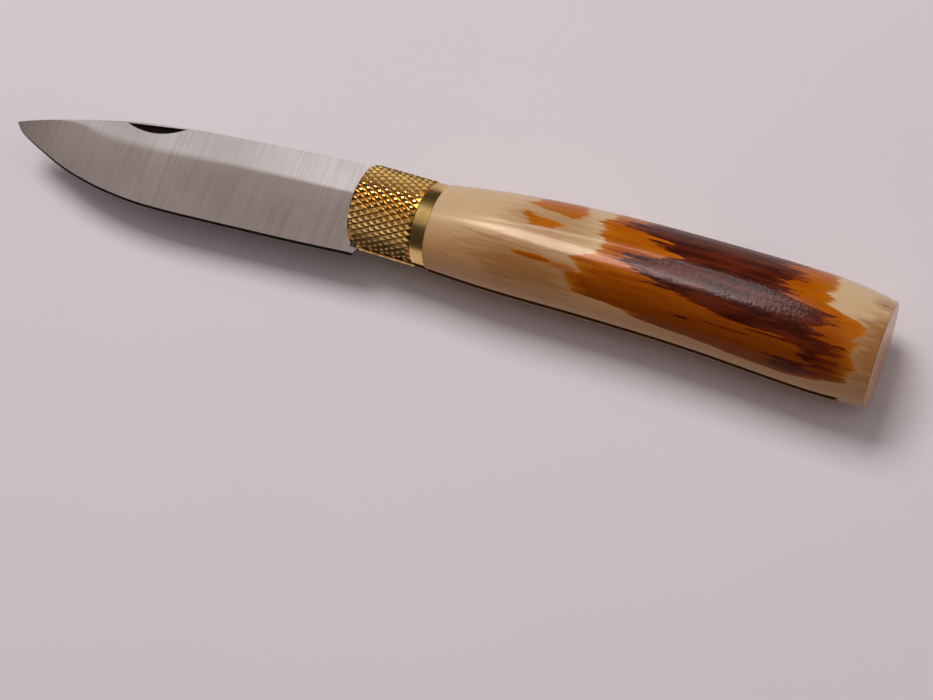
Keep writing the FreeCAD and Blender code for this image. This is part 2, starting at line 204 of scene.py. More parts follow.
def level_over(tree, value, stops):
    """Soft curve through (value, level) points."""
    ramp = add_node(tree, "ShaderNodeValToRGB", {0: sum_of(tree, "MULTIPLY_ADD", value, 0.5, 0.5)})
    elements = ramp.color_ramp.elements
    ramp.color_ramp.interpolation = "EASE"
    while len(elements) < len(stops):
        elements.new(0.5)
    for element, (position, level) in zip(elements, stops):
        element.position = (position + 1) / 2
        element.color = (level, level, level, 1.0)
    return ramp.outputs[0]


world = bpy.data.worlds.new("room")
bpy.context.scene.world = world
world.use_nodes = True
tree = world.node_tree
view_direction = add_node(tree, "ShaderNodeTexCoord").outputs["Generated"]
direction = add_node(tree, "ShaderNodeSeparateXYZ", {0: view_direction})
room_level = mix_colours(
    tree,
    1.0,
    level_over(tree, direction.outputs["Y"], ROOM_OVER_Y),
    level_over(tree, direction.outputs["X"], ROOM_OVER_X),
    "MULTIPLY",
)
background = tree.nodes["Background"]
tree.links.new(mix_colours(tree, 1.0, room_level, ROOM_TINT, "MULTIPLY"), background.inputs["Color"])
background.inputs["Strength"].default_value = ROOM_STRENGTH


# %% Lamps
def add_lamp(name, middle, length, width, turn_degrees, power):
    """Flat lamp that shines straight down, in metres, degrees and watts."""
    data = bpy.data.lights.new(name, "AREA")
    data.shape = "RECTANGLE"
    data.size = length
    data.size_y = width
    data.energy = power
    lamp = bpy.data.objects.new(name, data)
    lamp.location = middle
    lamp.rotation_euler.z = math.radians(turn_degrees)
    bpy.context.scene.collection.objects.link(lamp)
    return lamp


key_lamp = add_lamp("key_lamp", (-0.25, 0.42, 0.95), 0.45, 0.45, 0, 7.0)
key_lamp.visible_glossy = False


def add_reflection(name, receivers, *settings):
    """Lamp that is seen only as a reflection, and only in the pieces of one collection."""
    lamp = add_lamp(name, *settings)
    lamp.visible_diffuse = False
    lamp.light_linking.receiver_collection = receivers


lit_handle = bpy.data.collections.new("lit_handle")
lit_ring = bpy.data.collections.new("lit_ring")
lit_blade = bpy.data.collections.new("lit_blade")
add_reflection("back_line", lit_handle, (-0.225, 0.405, 0.62), 0.30, 0.035, 33, 1.5)
add_reflection("front_strip", lit_handle, (-0.20, 0.08, 0.62), 0.32, 0.13, -48, 5.0)
add_reflection("butt_strip", lit_handle, (-0.065, 0.25, 0.62), 0.07, 0.40, 0, 1.7)
add_reflection("ring_panel", lit_ring, (-0.20, 0.60, 0.62), 0.30, 0.80, 0, 6.0)
add_reflection("blade_panel", lit_blade, (-0.28, 0.15, 0.62), 0.40, 0.40, 0, 0.36)

# %% [markdown]
# ## Effects that several finishes share
# Brass and steel both carry fine lines from a tool, and brass, steel and antler all vary slowly in tone.
# Each effect is a node group, built once: a material places it and gives it its own scale.

# %% Shared node groups
def new_group(name, inputs, outputs):
    """Empty node group with named sockets, as (group, input node, output node)."""
    group = bpy.data.node_groups.new(name, "ShaderNodeTree")
    for socket, kind, value in inputs:
        made = group.interface.new_socket(socket, in_out="INPUT", socket_type=kind)
        if value is not None:
            made.default_value = value
    for socket, kind in outputs:
        group.interface.new_socket(socket, in_out="OUTPUT", socket_type=kind)
    return group, group.nodes.new("NodeGroupInput"), group.nodes.new("NodeGroupOutput")


def make_tool_lines():
    """Lines left by a tool: a noise that is squeezed across the lines and drawn out along them."""
    group, given, result = new_group(
        "tool_lines",
        [("Place", "NodeSocketVector", None), ("Lines per metre", "NodeSocketVector", (1.0, 1.0, 1.0))],
        [("Height", "NodeSocketFloat"), ("Patch", "NodeSocketFloat")],
    )
    scaled = add_node(
        group,
        "ShaderNodeVectorMath",
        {0: given.outputs["Place"], 1: given.outputs["Lines per metre"]},
        operation="MULTIPLY",
    )
    fine = add_node(group, "ShaderNodeTexNoise", {"Vector": scaled.outputs[0], "Scale": 1.0, "Detail": 4.0})
    fine.inputs["Roughness"].default_value = 0.65
    broad = add_node(group, "ShaderNodeTexNoise", {"Vector": scaled.outputs[0], "Scale": 0.17, "Detail": 2.0})
    group.links.new(fine.outputs[0], result.inputs["Height"])
    group.links.new(broad.outputs[0], result.inputs["Patch"])
    return group


def make_tone():
    """Slow change of tone over a surface, from 0 to 1, with soft edges."""
    group, given, result = new_group(
        "slow_tone",
        [("Place", "NodeSocketVector", None), ("Patches per metre", "NodeSocketFloat", 100.0)],
        [("Tone", "NodeSocketFloat")],
    )
    noise = add_node(
        group,
        "ShaderNodeTexNoise",
        {"Vector": given.outputs["Place"], "Scale": given.outputs["Patches per metre"], "Detail": 3.0},
    )
    group.links.new(step_up(group, noise.outputs[0], 0.3, 0.7), result.inputs["Tone"])
    return group


TOOL_LINES = make_tool_lines()
SLOW_TONE = make_tone()


def tool_lines(tree, place, lines_per_metre):
    node = add_node(tree, "ShaderNodeGroup", node_tree=TOOL_LINES)
    tree.links.new(place, node.inputs["Place"])
    node.inputs["Lines per metre"].default_value = lines_per_metre
    return node.outputs["Height"], node.outputs["Patch"]


def slow_tone(tree, place, patches_per_metre):
    node = add_node(tree, "ShaderNodeGroup", node_tree=SLOW_TONE)
    tree.links.new(place, node.inputs["Place"])
    node.inputs["Patches per metre"].default_value = patches_per_metre
    return node.outputs["Tone"]


def bump(tree, height, strength, distance, below=None):
    """Normal from a height; below is the normal that it is laid on."""
    inputs = {"Height": height, "Strength": strength, "Distance": distance}
    if below is not None:
        inputs["Normal"] = below
    return add_node(tree, "ShaderNodeBump", inputs).outputs[0]


print("groups:", TOOL_LINES.name, SLOW_TONE.name)

# %% [markdown]
# ## Brass
# Turned brass is bright, with a warm tarnish that comes and goes over it, and its colour is darker in every
# groove.
# The depth below the crest of the knurling is the distance from the axis, so the darker colour can follow it.

# %% Brass finishes
BRASS_COLOUR = screen_colour(248, 214, 140)
BRASS_TARNISH_COLOUR = screen_colour(210, 162, 84)
BRASS_GROOVE_COLOUR = screen_colour(186, 130, 56)
TURNING_LINES = (7000.0, 30.0, 30.0)


def axis_distance(tree, place):
    """Distance of the surface from the knife's axis."""
    parts = add_node(tree, "ShaderNodeSeparateXYZ", {0: place})
    across = sum_of(tree, "SUBTRACT", parts.outputs["Y"], AXIS_Y)
    up = sum_of(tree, "SUBTRACT", parts.outputs["Z"], AXIS_Z)
    squares = sum_of(tree, "ADD", sum_of(tree, "POWER", across, 2.0), sum_of(tree, "POWER", up, 2.0))
    return sum_of(tree, "SQRT", squares)


def make_brass(name, groove_radius, crest_radius, line_strength):
    """Brass that darkens below the crest radius."""
    material, tree, shader, place = new_material(name)
    height, patch = tool_lines(tree, place, TURNING_LINES)
    tone = slow_tone(tree, place, 260.0)
    depth = step_up(tree, axis_distance(tree, place), groove_radius, crest_radius)
    worn = mix_colours(tree, sum_of(tree, "MULTIPLY", tone, 0.55), BRASS_COLOUR, BRASS_TARNISH_COLOUR)
    lined = mix_colours(tree, sum_of(tree, "MULTIPLY", patch, 0.35), worn, BRASS_TARNISH_COLOUR)
    shader.inputs["Metallic"].default_value = 1.0
    connect(
        tree,
        shader,
        base_color=mix_colours(tree, depth, BRASS_GROOVE_COLOUR, lined),
        roughness=sum_of(tree, "MULTIPLY_ADD", tone, 0.12, 0.2),
        normal=bump(tree, height, line_strength, 0.02 * MM),
    )
    return material


KNURL_DEPTH = 0.35 * MM
knurled_brass = make_brass("knurled_brass", RING_RADIUS - KNURL_DEPTH, RING_RADIUS - KNURL_DEPTH / 2, 0.05)
turned_brass = make_brass("turned_brass", BAND_RADIUS - 0.5 * MM, BAND_RADIUS - 0.1 * MM, 0.7)
sleeve_brass = make_brass("sleeve_brass", 0.0, 5 * MM, 0.25)
print("brass:", knurled_brass.name, turned_brass.name, sleeve_brass.name)

# %% [markdown]
# ## Satin steel
# The blade was finished on a belt that ran from spine to edge, so its lines lie along Y. They are far
# too fine to model: a bump and a change of roughness carry them.

# %% Steel finish
STEEL_COLOUR = screen_colour(216, 207, 204)
STREAK_COLOUR = screen_colour(222, 219, 218)
# painted shade: the bevels are coloured darker for the dimmer reflection they catch, more so at the heel
BEVEL_TIP_PAINTED_SHADE = screen_colour(170, 156, 149)
BEVEL_HEEL_PAINTED_SHADE = screen_colour(144, 131, 125)
# painted shade: the floor of the nail nick and the fine edge bevel, coloured dark for the dark room they
# reflect
CUT_PAINTED_SHADE = screen_colour(62, 52, 48)
BELT_LINES = (9000.0, 90.0, 400.0)


def make_steel(name):
    """Satin steel with painted shade: bevels, which lean towards the edge, are coloured darker, and the fine
    cuts darker still.
    """
    material, tree, shader, place = new_material(name)
    height, patch = tool_lines(tree, place, BELT_LINES)
    tone = slow_tone(tree, place, 60.0)
    lines = sum_of(tree, "MULTIPLY_ADD", height, 0.5, sum_of(tree, "MULTIPLY", patch, 0.3))
    streaks = sum_of(tree, "MULTIPLY_ADD", tone, 0.2, lines)
    facing = add_node(tree, "ShaderNodeTexCoord").outputs["Normal"]
    back_lean = add_node(tree, "ShaderNodeSeparateXYZ", {0: facing}).outputs["Y"]
    edge_lean = sum_of(tree, "MULTIPLY", back_lean, -1.0)
    is_bevel = step_up(tree, edge_lean, 0.008, 0.05)
    # painted shade: the nick's floor and the fine edge bevel are coloured dark for the dark room they reflect
    is_nick_floor = sum_of(
        tree, "SUBTRACT", step_up(tree, back_lean, 0.10, 0.18), step_up(tree, back_lean, 0.5, 0.6), clamp=True
    )
    is_cut = sum_of(tree, "MAXIMUM", is_nick_floor, step_up(tree, edge_lean, 0.2, 0.3))
    along = add_node(tree, "ShaderNodeSeparateXYZ", {0: place}).outputs["X"]
    # painted shade: the bevels get a darker colour for their dimmer reflection, darkest towards the heel
    towards_heel = step_up(tree, along, blade_low.x, ring_low.x)
    bevel = mix_colours(tree, towards_heel, BEVEL_TIP_PAINTED_SHADE, BEVEL_HEEL_PAINTED_SHADE)
    colour = mix_colours(tree, is_bevel, STEEL_COLOUR, bevel)
    colour = mix_colours(tree, step_up(tree, streaks, 0.25, 0.75), colour, STREAK_COLOUR, "MULTIPLY")
    shader.inputs["Metallic"].default_value = 1.0
    connect(
        tree,
        shader,
        base_color=mix_colours(tree, is_cut, colour, CUT_PAINTED_SHADE),
        roughness=sum_of(tree, "MULTIPLY_ADD", height, 0.2, 0.26),
        normal=bump(tree, height, 0.2, 0.02 * MM),
    )
    return material


satin_steel = make_steel("satin_steel")
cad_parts["pivot_pin"].data.materials.clear()
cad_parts["pivot_pin"].data.materials.append(satin_steel)
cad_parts["ferrule"].data.materials.clear()
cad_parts["ferrule"].data.materials.append(sleeve_brass)

# %% [markdown]
# ## Stained antler
# Scorched and polished antler is cream, with burnt orange patches whose middle is dark brown. The edges
# of the stain are feathered along the grain. The outlines are drawn as curves: for each turn
# about the handle they say how far along it the stain starts and ends, and a noise that is drawn out
# along the grain frays them.

# %% Stain outlines
# Each point is (degrees from the top towards the slot, share of the handle's length).
ORANGE_START = [
    (-160, 1.0), (-135, 0.80), (-105, 0.48), (-80, 0.40), (-58, 0.386), (-50, 0.387), (-46, 0.390),
    (-41, 0.377), (-36, 0.368), (-31, 0.380), (-22, 0.384), (-13, 0.397), (-6, 0.391), (1, 0.385),
    (7, 0.365), (13, 0.342), (17, 0.350), (20, 0.366), (25, 0.354), (31, 0.344), (40, 0.342),
    (46, 0.352), (49, 0.42), (54, 0.48), (59, 0.515), (61, 0.62), (65, 0.70), (67, 0.80), (70, 1.0),
]
ORANGE_END = [
    (-160, 0.75), (-120, 0.85), (-80, 0.872), (-58, 0.879), (-46, 0.884), (-38, 0.889), (-33, 0.880),
    (-28, 0.874), (-22, 0.879), (-15, 0.886), (-11, 0.905), (-6, 0.940), (-2, 0.961), (2, 0.965),
    (8, 0.954), (16, 0.946), (23, 0.944), (31, 0.954), (40, 0.963), (49, 0.956), (55, 0.945),
    (60, 0.920), (64, 0.885), (68, 0.82), (72, 0.75),
]
DARK_START = [
    (-160, 1.0), (-130, 0.80), (-100, 0.56), (-75, 0.48), (-58, 0.465), (-48, 0.438), (-41, 0.443),
    (-37, 0.475), (-33, 0.525), (-24, 0.535), (-15, 0.525), (-9, 0.500), (-4, 0.470), (0, 0.455),
    (5, 0.475), (10, 0.520), (15, 0.565), (19, 0.590), (23, 0.655), (27, 0.720), (30, 0.845),
    (37, 0.860), (44, 0.870), (50, 0.840), (54, 0.800), (60, 0.795), (63, 0.83), (66, 1.0),
]
DARK_END = [
    (-160, 0.70), (-110, 0.76), (-60, 0.79), (-44, 0.79), (-38, 0.802), (-31, 0.800), (-25, 0.784),
    (-17, 0.790), (-10, 0.815), (-4, 0.860), (2, 0.896), (9, 0.877), (16, 0.878), (23, 0.895),
    (30, 0.905), (38, 0.910), (46, 0.900), (52, 0.876), (58, 0.860), (62, 0.825), (66, 0.79),
]
SPOT_START = [
    (-90, 0.300), (-62, 0.225), (-50, 0.212), (-41, 0.204),
    (-38, 0.222), (-34, 0.262), (-31, 0.300), (-28, 0.345),
]
SPOT_END = [
    (-90, 0.240), (-62, 0.322), (-50, 0.328), (-42, 0.334),
    (-36, 0.333), (-32, 0.325), (-30, 0.312), (-28, 0.285),
]
SMALL_SPOT_START = [(-28, 0.260), (-25, 0.216), (-21, 0.219), (-15, 0.222), (-11, 0.226), (-8, 0.280)]
SMALL_SPOT_END = [
    (-28, 0.200), (-25, 0.236), (-22, 0.238), (-20, 0.276),
    (-17, 0.296), (-13, 0.288), (-11, 0.262), (-8, 0.200),
]
# Small marks: middle in degrees and share of length, half width in degrees, half length, strength
ORANGE_MARKS = [
    (22, 0.255, 4.5, 0.070, 1.0),
    (24, 0.330, 3.5, 0.045, 0.8),
]
DARK_MARKS = [
    (-30, 0.510, 1.6, 0.030, 0.8),
    (-49, 0.430, 3.0, 0.014, 0.5),
    (25.5, 0.860, 1.3, 0.060, 0.8),
    (30, 0.810, 1.2, 0.095, 0.7),
    (36, 0.690, 1.4, 0.070, 0.45),
    (39.5, 0.598, 1.3, 0.017, 0.8),
    (-38.5, 0.988, 0.7, 0.016, 0.8),
]
BROWN_MARKS = [
    (34, 0.240, 44.0, 0.230, 0.95),
    (-15, 0.270, 50.0, 0.170, 0.6),
    (18, 1.000, 62.0, 0.110, 1.0),
    (-42, 0.985, 22.0, 0.040, 0.6),
    (-2, 0.990, 34.0, 0.065, 1.0),
]

CREAM_COLOUR = screen_colour(213, 183, 143)
# painted shade: the cream on the side towards the slot; the grain's darker patches use it too
CREAM_PAINTED_SHADE_AND_GRAIN_COLOUR = screen_colour(200, 150, 102)
BROWN_COLOUR = screen_colour(158, 106, 60)
AMBER_COLOUR = screen_colour(192, 116, 24)
ORANGE_COLOUR = screen_colour(188, 100, 8)
ORANGE_DEEP_COLOUR = screen_colour(148, 62, 3)
# painted shade: the orange on the side towards the slot
ORANGE_PAINTED_SHADE_COLOUR = screen_colour(114, 47, 5)
RED_BROWN_COLOUR = screen_colour(108, 38, 10)
DARK_COLOUR = screen_colour(98, 37, 18)
DARK_DEEP_COLOUR = screen_colour(56, 18, 9)
# painted shade: the darker colour inside the sawn slot
SLOT_PAINTED_SHADE = screen_colour(120, 84, 50)
BUTT_COLOUR = screen_colour(202, 152, 102)
BUTT_SHADE_COLOUR = screen_colour(180, 126, 80)
SLOT_WIDTH = 2.2 * MM
SAW_WIDTH = 2.0 * MM
SLOT_END_SHARE = 0.945
HANDLE_MIDDLE_Y = AXIS_Y + 1.0 * MM


def turn_of(degrees):
    """Turn about the handle, from 0 to 1, of an angle from the top."""
    return (degrees + 180) / 360


def drawn_curve(tree, turn, points):
    """Height of a drawn curve over the turn about the handle."""
    node = add_node(tree, "ShaderNodeFloatCurve", {"Value": turn})
    node.mapping.extend = "HORIZONTAL"
    curve = node.mapping.curves[0]
    shares = [(turn_of(degrees), share) for degrees, share in points]
    curve.points[0].location = shares[0]
    curve.points[1].location = shares[-1]
    for share in shares[1:-1]:
        curve.points.new(*share)
    node.mapping.update()
    return node.outputs[0]


def between(tree, along, start, end, softness):
    """Mask of what lies past start and before end."""
    entered = step_up(tree, sum_of(tree, "SUBTRACT", along, start), -softness, softness)
    left = step_up(tree, sum_of(tree, "SUBTRACT", end, along), -softness, softness)
    return sum_of(tree, "MULTIPLY", entered, left)


def mark(tree, along, turn, ragged, softness, degrees, share, half_degrees, half_share, strength):
    """Mask of one small frayed mark."""
    across = sum_of(tree, "DIVIDE", sum_of(tree, "SUBTRACT", turn, turn_of(degrees)), half_degrees / 360)
    lengthwise = sum_of(tree, "DIVIDE", sum_of(tree, "SUBTRACT", along, share), half_share)
    squares = sum_of(tree, "ADD", sum_of(tree, "POWER", across, 2.0), sum_of(tree, "POWER", lengthwise, 2.0))
    inside = sum_of(tree, "SUBTRACT", 1.0, sum_of(tree, "SQRT", squares))
    frayed = sum_of(tree, "MULTIPLY_ADD", ragged, 1.2, inside)
    return sum_of(tree, "MULTIPLY", step_up(tree, frayed, 0.0, softness), strength)


# %% Antler finish
GRAIN_LINES = (110.0, 1100.0, 1100.0)
BROAD_GRAIN_LINES = (60.0, 330.0, 330.0)
PITS_PER_METRE = 1400.0
# Shifts along the grain, as shares of the handle's length: by the fine grain and by the broad grain
ORANGE_FRAY_SHARES = (0.08, 0.04)
DEEP_FRAY_SHARES = (0.10, 0.06)
DARK_FRAY_SHARES = (0.26, 0.12)
# how much painted shade the orange takes on the side towards the slot
ORANGE_PAINTED_SHADE_SHARE = 0.8
SPOT_DEPTH_SHARE = 0.6


def make_antler():
    material, tree, shader, place = new_material("stained_antler")
    parts = add_node(tree, "ShaderNodeSeparateXYZ", {0: place})
    from_shoulder = sum_of(tree, "SUBTRACT", parts.outputs["X"], SHOULDER_X)
    along = sum_of(tree, "DIVIDE", from_shoulder, BUTT_X - SHOULDER_X)
    across = sum_of(tree, "SUBTRACT", HANDLE_MIDDLE_Y, parts.outputs["Y"])
    up = sum_of(tree, "SUBTRACT", parts.outputs["Z"], AXIS_Z)
    angle = sum_of(tree, "ARCTAN2", across, up)
    turn = sum_of(tree, "MULTIPLY_ADD", angle, 0.5 / math.pi, 0.5)

    grain, grain_patch = tool_lines(tree, place, GRAIN_LINES)
    broad, broad_patch = tool_lines(tree, place, BROAD_GRAIN_LINES)
    fine_shift = sum_of(tree, "SUBTRACT", grain, 0.5)
    broad_shift = sum_of(tree, "SUBTRACT", broad, 0.5)
    bent_turn = sum_of(tree, "MULTIPLY_ADD", broad_shift, 0.02, turn)

    def frayed(fine, coarse):
        """Place along the handle, shifted along the grain."""
        shifted = sum_of(tree, "MULTIPLY_ADD", fine_shift, fine, along)
        return sum_of(tree, "MULTIPLY_ADD", broad_shift, coarse, shifted)

    def stain(start, end, place_along, softness):
        """Mask of the stain between two drawn outlines."""
        start_curve = drawn_curve(tree, bent_turn, start)
        end_curve = drawn_curve(tree, bent_turn, end)
        return between(tree, place_along, start_curve, end_curve, softness)

    orange_along = frayed(*ORANGE_FRAY_SHARES)
    orange = stain(ORANGE_START, ORANGE_END, orange_along, 0.008)
    deep = stain(ORANGE_START, ORANGE_END, frayed(*DEEP_FRAY_SHARES), 0.05)
    for start, end in ((SPOT_START, SPOT_END), (SMALL_SPOT_START, SMALL_SPOT_END)):
        spot = stain(start, end, orange_along, 0.009)
        orange = sum_of(tree, "MAXIMUM", orange, spot)
        deep = sum_of(tree, "MAXIMUM", deep, sum_of(tree, "MULTIPLY", spot, SPOT_DEPTH_SHARE))
    for values in ORANGE_MARKS:
        orange_mark = mark(tree, along, bent_turn, fine_shift, 0.5, *values)
        orange = sum_of(tree, "MAXIMUM", orange, orange_mark)
        deep = sum_of(tree, "MAXIMUM", deep, orange_mark)
    dark = stain(DARK_START, DARK_END, frayed(*DARK_FRAY_SHARES), 0.025)
    for values in DARK_MARKS:
        dark = sum_of(tree, "MAXIMUM", dark, mark(tree, along, bent_turn, fine_shift, 0.35, *values))
    brown = sum_of(tree, "MULTIPLY", step_up(tree, broad_patch, 0.35, 0.75), 0.15)
    for values in BROWN_MARKS:
        brown = sum_of(tree, "MAXIMUM", brown, mark(tree, along, bent_turn, fine_shift, 0.9, *values))

    # Painted shade: the side towards the slot, turned away from the key lamp, is coloured darker, cream and
    # orange alike
    painted_shade = step_up(tree, turn, turn_of(-5), turn_of(50))
    cream = mix_colours(tree, painted_shade, CREAM_COLOUR, CREAM_PAINTED_SHADE_AND_GRAIN_COLOUR)
    cream = mix_colours(tree, sum_of(tree, "MULTIPLY", grain_patch, 0.3), cream, CREAM_PAINTED_SHADE_AND_GRAIN_COLOUR)
    cream = mix_colours(tree, brown, cream, BROWN_COLOUR)
    orange_tone = sum_of(tree, "MULTIPLY_ADD", grain, 0.6, sum_of(tree, "MULTIPLY", broad_patch, 0.4))
    is_deep_tone = step_up(tree, orange_tone, 0.35, 0.7)
    orange_colour = mix_colours(tree, is_deep_tone, ORANGE_COLOUR, ORANGE_DEEP_COLOUR)
    orange_painted_shade = sum_of(tree, "MULTIPLY", painted_shade, ORANGE_PAINTED_SHADE_SHARE)
    orange_colour = mix_colours(tree, orange_painted_shade, orange_colour, ORANGE_PAINTED_SHADE_COLOUR)
    orange_colour = mix_colours(tree, deep, AMBER_COLOUR, orange_colour)
    dark_colour = mix_colours(tree, step_up(tree, grain, 0.35, 0.65), DARK_COLOUR, DARK_DEEP_COLOUR)
    colour = mix_colours(tree, orange, cream, orange_colour)
    colour = mix_colours(tree, step_up(tree, dark, 0.0, 0.5), colour, RED_BROWN_COLOUR)
    colour = mix_colours(tree, step_up(tree, dark, 0.35, 0.9), colour, dark_colour)

    # Painted shade in the sawn slot: its walls, a layer a hair wider than the saw, on its side of the axis,
    # ahead of its end, are coloured darker
    in_layer = sum_of(tree, "LESS_THAN", sum_of(tree, "ABSOLUTE", up), SAW_WIDTH * 0.52)
    ahead_of_end = sum_of(tree, "LESS_THAN", along, SLOT_END_SHARE)
    in_slot = sum_of(tree, "MULTIPLY", in_layer, ahead_of_end)
    in_slot = sum_of(tree, "MULTIPLY", in_slot, sum_of(tree, "GREATER_THAN", across, 0.0))
    colour = mix_colours(tree, in_slot, colour, SLOT_PAINTED_SHADE)

    # The sawn end shows no stain, only the grain's ends
    facing = add_node(tree, "ShaderNodeTexCoord").outputs["Normal"]
    is_butt = step_up(tree, add_node(tree, "ShaderNodeSeparateXYZ", {0: facing}).outputs["X"], 0.75, 0.95)
    butt_tone = slow_tone(tree, place, 700.0)
    colour = mix_colours(tree, is_butt, colour, mix_colours(tree, butt_tone, BUTT_COLOUR, BUTT_SHADE_COLOUR))

    pits = add_node(tree, "ShaderNodeTexNoise", {"Vector": place, "Scale": PITS_PER_METRE, "Detail": 3.0})
    rough_height = sum_of(tree, "MULTIPLY", pits.outputs[0], dark)
    polished = bump(tree, grain, 0.06, 0.05 * MM)
    surface = bump(tree, rough_height, 0.4, 0.08 * MM, polished)
    connect(
        tree,
        shader,
        base_color=colour,
        roughness=sum_of(tree, "MULTIPLY_ADD", dark, 0.14, 0.22),
        specular_tint=colour,
        normal=surface,
        coat_normal=surface,
    )
    shader.inputs["Specular IOR Level"].default_value = 0.2
    shader.inputs["Coat Weight"].default_value = 0.12
    shader.inputs["Coat Roughness"].default_value = 0.14
    return material


stained_antler = make_antler()
print("antler finish has", len(stained_antler.node_tree.nodes), "nodes")

# %% [markdown]
# ## The handle
# The handle is round at every place, but its middle line arches a little, so it isn't a plain lathe
# piece. A profile is spun as on a lathe, and each ring is then lifted to its own middle. Subdivision
# rounds it lengthwise, and a Boolean with a flat prism saws the slot that takes the blade.

# %% Read the handle's rings
TINY = 1e-7
handle_points = [vertex.co.copy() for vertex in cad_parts["handle"].data.vertices]


def rings_of(points, least_count=100):
    """Rings of a round piece, as (place along X, radius, lift of the middle above the axis)."""
    levels = {}
    for point in points:
        levels.setdefault(round(point.x, 5), []).append(point)
    rings = []
    for x, level in sorted(levels.items()):
        if len(level) >= least_count:
            radius = (max(point.z for point in level) - min(point.z for point in level)) / 2
            rings.append((x, radius, max(point.y for point in level) - radius - AXIS_Y))
    return rings


handle_rings = rings_of([point for point in handle_points if point.x > SHOULDER_X - TINY])
neck_ring = rings_of([point for point in handle_points if point.x < SHOULDER_X - TINY])[0]
print(len(handle_rings), "rings; neck", [round(value, 5) for value in neck_ring])

# %% Spin the handle
HANDLE_STEPS = 64
HARD_EDGE = 1.0


def spin_profile(bm, profile, steps):
    """Lathe: spin a line of (x, radius) points about the knife's axis."""
    verts = [bm.verts.new((x, AXIS_Y + radius, AXIS_Z)) for x, radius in profile]
    edges = [bm.edges.new(pair) for pair in zip(verts, verts[1:])]
    bmesh.ops.spin(
        bm,
        geom=verts + edges,
        cent=AXIS,
        axis=(1, 0, 0),
        dvec=(0, 0, 0),
        angle=2 * math.pi,
        steps=steps,
        use_merge=True,
    )
    bmesh.ops.remove_doubles(bm, verts=bm.verts[:], dist=TINY)
    bmesh.ops.recalc_face_normals(bm, faces=bm.faces[:])


def new_piece(bm, name, material, sharp_degrees=30):
    """Mesh object from a bmesh, smooth but for its sharp edges."""
    mesh = bpy.data.meshes.new(name)
    bm.to_mesh(mesh)
    bm.free()
    mesh.shade_smooth()
    mesh.set_sharp_from_angle(angle=math.radians(sharp_degrees))
    mesh.materials.append(material)
    piece = bpy.data.objects.new(name, mesh)
    bpy.context.scene.collection.objects.link(piece)
    print(name, len(mesh.polygons), "faces")
    return piece


neck_x, neck_radius, _ = neck_ring
end_x, end_radius, _ = handle_rings[-1]
profile = [(neck_x, 0.0), (neck_x, neck_radius), (SHOULDER_X, neck_radius)]
profile += [(x, radius) for x, radius, _ in handle_rings]
profile += [(end_x, end_radius * share) for share in (0.6, 0.2, 0.0)]


def lift_at(x):
    """Lift of the handle's middle above the axis, straight between two rings."""
    for (low_x, _, low), (high_x, _, high) in zip(handle_rings, handle_rings[1:]):
        if x < high_x + TINY:
            return low + (high - low) * max(x - low_x, 0) / (high_x - low_x)
    return handle_rings[-1][2]


bm = bmesh.new()
spin_profile(bm, profile, HANDLE_STEPS)
for vert in bm.verts:
    vert.co.y += lift_at(vert.co.x)
crease = bm.edges.layers.float.new("crease_edge")
for edge in bm.edges:
    ends = [vert.co for vert in edge.verts]
    is_round = abs(ends[0].x - ends[1].x) < TINY
    radius = (Vector((0, *ends[0].yz)) - AXIS).length
    if is_round and ends[0].x < SHOULDER_X + TINY and radius > neck_radius - MM:
        edge[crease] = HARD_EDGE
handle_blank = new_piece(bm, "handle_blank", stained_antler)

# %% Saw the blade slot
slot_floor = sorted({
    (round(point.x, 6), round(point.y, 6))
    for point in handle_points
    if abs(abs(point.z - AXIS_Z) - SLOT_WIDTH / 2) < MM / 100 and point.y > AXIS_Y - MM
})
print("slot floor:", [(round(x / MM, 2), round(y / MM, 2)) for x, y in slot_floor])

OVERRUN = 4 * MM
SLOT_ROOM = 0.6 * MM
bm = bmesh.new()
below = handle_low.y - OVERRUN
deep_floor = [(x, y + SLOT_ROOM) for x, y in slot_floor]
start_x = deep_floor[0][0] - OVERRUN
outline = [(start_x, below), (start_x, deep_floor[0][1])] + deep_floor + [(deep_floor[-1][0], below)]
side = bm.faces.new([bm.verts.new((x, y, AXIS_Z - SAW_WIDTH / 2)) for x, y in outline])
grown = bmesh.ops.extrude_face_region(bm, geom=[side])
moved = [item for item in grown["geom"] if isinstance(item, bmesh.types.BMVert)]
bmesh.ops.translate(bm, vec=(0, 0, SAW_WIDTH), verts=moved)
bmesh.ops.recalc_face_normals(bm, faces=bm.faces[:])
slot_saw = new_piece(bm, "slot_saw", stained_antler)

rounding = handle_blank.modifiers.new("rounding", "SUBSURF")
rounding.levels = 2
rounding.render_levels = 2
sawing = handle_blank.modifiers.new("sawing", "BOOLEAN")
sawing.object = slot_saw
sawing.operation = "DIFFERENCE"
sawing.solver = "EXACT"
evaluated = handle_blank.evaluated_get(bpy.context.evaluated_depsgraph_get())
handle_mesh = bpy.data.meshes.new_from_object(evaluated)
handle_mesh.name = "antler_handle"
handle_mesh.set_sharp_from_angle(angle=math.radians(40))
for helper in (handle_blank, slot_saw):
    bpy.data.objects.remove(helper)
antler_handle = bpy.data.objects.new("antler_handle", handle_mesh)
bpy.context.scene.collection.objects.link(antler_handle)
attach(antler_handle, "grip")
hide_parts("handle")
print("antler_handle", len(handle_mesh.polygons), "faces")

# %% [markdown]
# ## The knurled ring
# A knurling tool presses two sets of slanting grooves into the brass, and what is left between them are
# small pyramids. Here a tube of oblong faces is poked, its old edges are dissolved, and the diamonds that
# remain are inset and raised: every diamond becomes a pyramid with a worn, flat tip.

